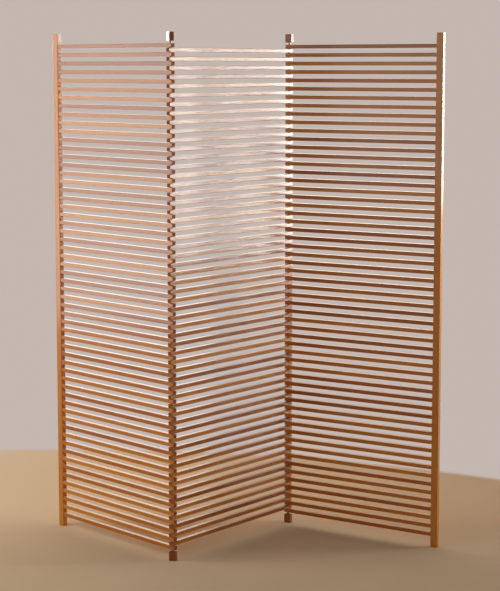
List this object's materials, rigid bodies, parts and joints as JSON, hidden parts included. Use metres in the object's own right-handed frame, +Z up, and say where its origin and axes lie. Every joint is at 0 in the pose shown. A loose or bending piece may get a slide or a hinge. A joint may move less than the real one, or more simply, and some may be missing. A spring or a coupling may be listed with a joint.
{
  "type": "folding slat room divider",
  "caption": "Free-standing folding screen: panels of level wooden slats that interleave on upright corner rods and swing about them, with full-height end posts.",
  "frame": {"origin": "centre of the footprint's bounding box, on the floor", "axes": "+Z up along the posts, +X to the right along the standing screen's width, +Y from its front to its back"},
  "size_m": [1.3546, 0.4554, 1.8],
  "materials": {
    "slat_wood": "oiled satin, grain along the slat, tone varies from slat to slat",
    "post_wood": "oiled satin, grain along the post",
    "block_wood": "oiled satin, grain upright",
    "dowel_wood": "plain, glued in",
    "rod_steel": "drawn",
    "washer": "dull stamped",
    "collar_steel": "turned, a little tarnished",
    "insert_brass": "turned"
  },
  "bodies": {
    "middle_panel": {"middle_slats_01": "slat_wood", "middle_slats_02": "slat_wood", "middle_slats_03": "slat_wood", "middle_slats_04": "slat_wood", "middle_slats_05": "slat_wood", "middle_slats_06": "slat_wood", "middle_slats_07": "slat_wood", "middle_slats_08": "slat_wood", "middle_slats_09": "slat_wood", "middle_slats_10": "slat_wood", "middle_slats_11": "slat_wood", "middle_slats_12": "slat_wood"},
    "left_panel": {"left_end_post": "post_wood", "left_dowels": "dowel_wood", "left_slats_01": "slat_wood", "left_slats_02": "slat_wood", "left_slats_03": "slat_wood", "left_slats_04": "slat_wood", "left_slats_05": "slat_wood", "left_slats_06": "slat_wood", "left_slats_07": "slat_wood", "left_slats_08": "slat_wood", "left_slats_09": "slat_wood", "left_slats_10": "slat_wood", "left_slats_11": "slat_wood", "left_slats_12": "slat_wood"},
    "right_panel": {"right_end_post": "post_wood", "right_dowels": "dowel_wood", "right_slats_01": "slat_wood", "right_slats_02": "slat_wood", "right_slats_03": "slat_wood", "right_slats_04": "slat_wood", "right_slats_05": "slat_wood", "right_slats_06": "slat_wood", "right_slats_07": "slat_wood", "right_slats_08": "slat_wood", "right_slats_09": "slat_wood", "right_slats_10": "slat_wood", "right_slats_11": "slat_wood", "right_slats_12": "slat_wood"},
    "front_spindle": {"front_pivot_rod": "rod_steel", "front_washers": "washer", "front_bottom_collar": "collar_steel", "front_top_collar": "collar_steel", "front_foot_block": "block_wood", "front_foot_insert": "insert_brass", "front_top_block": "block_wood", "front_top_insert": "insert_brass"},
    "back_spindle": {"back_pivot_rod": "rod_steel", "back_washers": "washer", "back_bottom_collar": "collar_steel", "back_top_collar": "collar_steel", "back_foot_block": "block_wood", "back_foot_insert": "insert_brass", "back_top_block": "block_wood", "back_top_insert": "insert_brass"}
  },
  "joints": [
    {"name": "left_fold", "type": "hinge", "parent": "middle_panel", "child": "left_panel", "pos_m": [-0.25831, -0.21319, 0.9], "axis": [0, 0, 1], "range_deg": [-86.5, 136]},
    {"name": "right_fold", "type": "hinge", "parent": "middle_panel", "child": "right_panel", "pos_m": [0.16964, 0.20736, 0.9], "axis": [0, 0, 1], "range_deg": [-100, 122.5]},
    {"name": "front_spindle_turn", "type": "hinge", "parent": "middle_panel", "child": "front_spindle", "pos_m": [-0.25831, -0.21319, 0.9], "axis": [0, 0, 1], "continuous": true},
    {"name": "back_spindle_turn", "type": "hinge", "parent": "middle_panel", "child": "back_spindle", "pos_m": [0.16964, 0.20736, 0.9], "axis": [0, 0, 1], "continuous": true}
  ]
}
